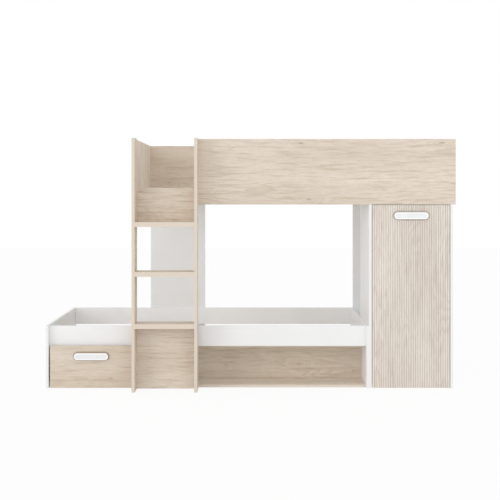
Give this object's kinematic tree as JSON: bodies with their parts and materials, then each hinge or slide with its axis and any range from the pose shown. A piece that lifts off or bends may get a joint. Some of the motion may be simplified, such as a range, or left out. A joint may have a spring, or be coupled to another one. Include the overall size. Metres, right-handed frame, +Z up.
{
  "type": "bunk bed",
  "caption": "Bunk bed with an offset upper bed over a wardrobe, a fixed ladder, and a drawer and open niche under the lower bed.",
  "frame": {"origin": "centre of the whole bed's box, on the floor", "axes": "+X along the beds, from the drawer towards the wardrobe; +Y from the front to the back; +Z up"},
  "size_m": [2.462, 1.122, 1.498],
  "materials": {
    "oak_board": "light oak foil, satin",
    "ribbed_door": "light oak foil on upright ribs, satin",
    "white_board": "white coated board, satin",
    "thin_panel": "white faced thin board",
    "drawer_board": "white coated board, satin",
    "slat_wood": "bare softwood",
    "dowel_wood": "bare beech",
    "handle_white": "satin white",
    "zinc_steel": "zinc plated",
    "nickel_steel": "nickel plated",
    "chrome": "polished"
  },
  "bodies": {
    "root": {"angle_brackets": "zinc_steel", "cam_bolts": "zinc_steel", "cam_locks": "zinc_steel", "connector_bolts": "zinc_steel", "connector_sleeves": "zinc_steel", "dowels": "dowel_wood", "drawer_divider": "white_board", "entry_board": "oak_board", "hanging_rail": "chrome", "hinge_arms": "nickel_steel", "ladder_infill": "oak_board", "ladder_upright_left": "oak_board", "ladder_upright_right": "oak_board", "lower_end_left": "white_board", "lower_end_right": "white_board", "lower_front_rail": "white_board", "lower_rear_ledger": "slat_wood", "lower_rear_rail": "white_board", "lower_slat_angle": "zinc_steel", "lower_slats": "slat_wood", "niche_back": "oak_board", "niche_divider": "white_board", "niche_floor": "oak_board", "rail_sockets": "chrome", "rear_support_left": "white_board", "rear_support_right": "white_board", "runner_channels": "zinc_steel", "shelf_pins": "zinc_steel", "tread_lower": "oak_board", "tread_middle": "oak_board", "tread_upper": "oak_board", "upper_end_left": "oak_board", "upper_end_right": "oak_board", "upper_front_guard": "oak_board", "upper_front_rail": "white_board", "upper_rear_guard": "oak_board", "upper_slat_ledgers": "slat_wood", "upper_slats": "slat_wood", "wardrobe_back": "thin_panel", "wardrobe_floor": "white_board", "wardrobe_shelf": "white_board", "wardrobe_side_left": "white_board", "wardrobe_side_right": "white_board", "wardrobe_top": "white_board", "wood_screws": "zinc_steel"},
    "drawer": {"drawer_front": "oak_board", "drawer_handle": "handle_white", "drawer_side_left": "drawer_board", "drawer_side_right": "drawer_board", "drawer_back": "drawer_board", "drawer_bottom": "thin_panel", "runner_slides": "zinc_steel", "drawer_cam_bolts": "zinc_steel", "drawer_cam_locks": "zinc_steel", "drawer_screws": "zinc_steel"},
    "door": {"door_panel": "ribbed_door", "door_handle": "handle_white", "door_screws": "zinc_steel", "hinge_cups": "nickel_steel", "hinge_pins": "nickel_steel"}
  },
  "joints": [
    {"name": "drawer_slide", "type": "slide", "parent": "root", "child": "drawer", "axis": [0, -1, 0], "range_m": [0, 0.38]},
    {"name": "door_swing", "type": "hinge", "parent": "root", "child": "door", "pos_m": [1.184, -0.419, 0.56], "axis": [0, 0, 1], "range_deg": [0, 95]}
  ]
}
